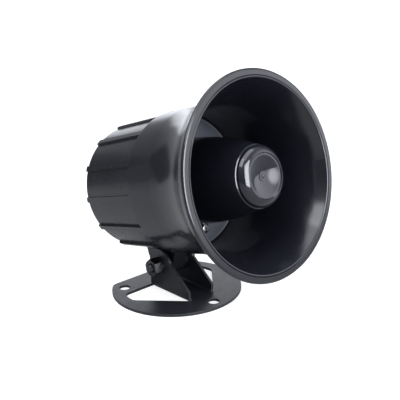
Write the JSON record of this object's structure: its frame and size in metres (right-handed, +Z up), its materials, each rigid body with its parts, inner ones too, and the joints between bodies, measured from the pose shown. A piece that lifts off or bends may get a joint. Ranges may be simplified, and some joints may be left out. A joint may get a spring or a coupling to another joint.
{
  "type": "horn siren",
  "caption": "Horn siren: ribbed sound-unit housing with a flared bell and central reflector, tilting on a pressed steel foot.",
  "frame": {"origin": "centre of the bracket's round plate, on its underside", "axes": "+Z up out of the mounting face, mouth of the horn towards -Y, +X along the tilt bolt"},
  "size_m": [0.1096, 0.1305, 0.1384],
  "materials": {
    "steel_painted": "semi-gloss black paint on pressed steel",
    "steel_black": "black zinc plated steel",
    "abs_gloss": "glossy black moulded ABS",
    "abs_housing": "satin-gloss black moulded ABS",
    "abs_inner": "black moulded ABS",
    "steel_zinc": "zinc plated steel",
    "rubber": "moulded rubber",
    "ferrite": "fired ferrite",
    "phenolic": "pressed phenolic",
    "copper": "enamelled copper",
    "lead_insulation": "PVC insulation",
    "circuit_board": "solder-masked laminate",
    "component_black": "component mouldings and sleeves",
    "aluminium": "extruded aluminium",
    "resistor_body": "resistor lacquer",
    "terminal_green": "moulded terminal"
  },
  "bodies": {
    "bracket": {"mounting_bracket": "steel_painted", "pivot_bolt": "steel_black", "pivot_washer": "steel_black", "pivot_lock_washer": "steel_black", "pivot_nut": "steel_black"},
    "siren_head": {"horn_bell": "abs_gloss", "reflector": "abs_gloss", "reflector_cap": "abs_gloss", "rear_housing": "abs_housing", "throat_horn": "abs_inner", "phase_plug": "abs_inner", "horn_screws": "steel_zinc", "driver_screws": "steel_zinc", "board_screws": "steel_zinc", "yoke": "steel_zinc", "top_plate": "steel_zinc", "seal_ring": "rubber", "cable_grommet": "rubber", "surround": "rubber", "magnet": "ferrite", "terminal_strip": "phenolic", "terminal_tags": "copper", "driver_leads": "lead_insulation", "siren_board": "circuit_board", "filter_capacitor": "component_black", "timing_capacitors": "component_black", "siren_chip": "component_black", "power_transistors": "component_black", "supply_diode": "component_black", "heat_sinks": "aluminium", "resistors": "resistor_body", "supply_terminal": "terminal_green"},
    "moving_coil": {"diaphragm": "phenolic", "voice_coil_former": "phenolic", "voice_coil": "copper"}
  },
  "joints": [
    {"name": "horn_tilt", "type": "hinge", "parent": "bracket", "child": "siren_head", "pos_m": [0, 0.0043, 0.0166], "axis": [1, 0, 0], "range_deg": [-45, 18]},
    {"name": "diaphragm_stroke", "type": "slide", "parent": "siren_head", "child": "moving_coil", "axis": [0, -0.9751, 0.2215], "range_m": [-0.0003, 0.0003], "stiffness_N_per_m": 20000}
  ]
}
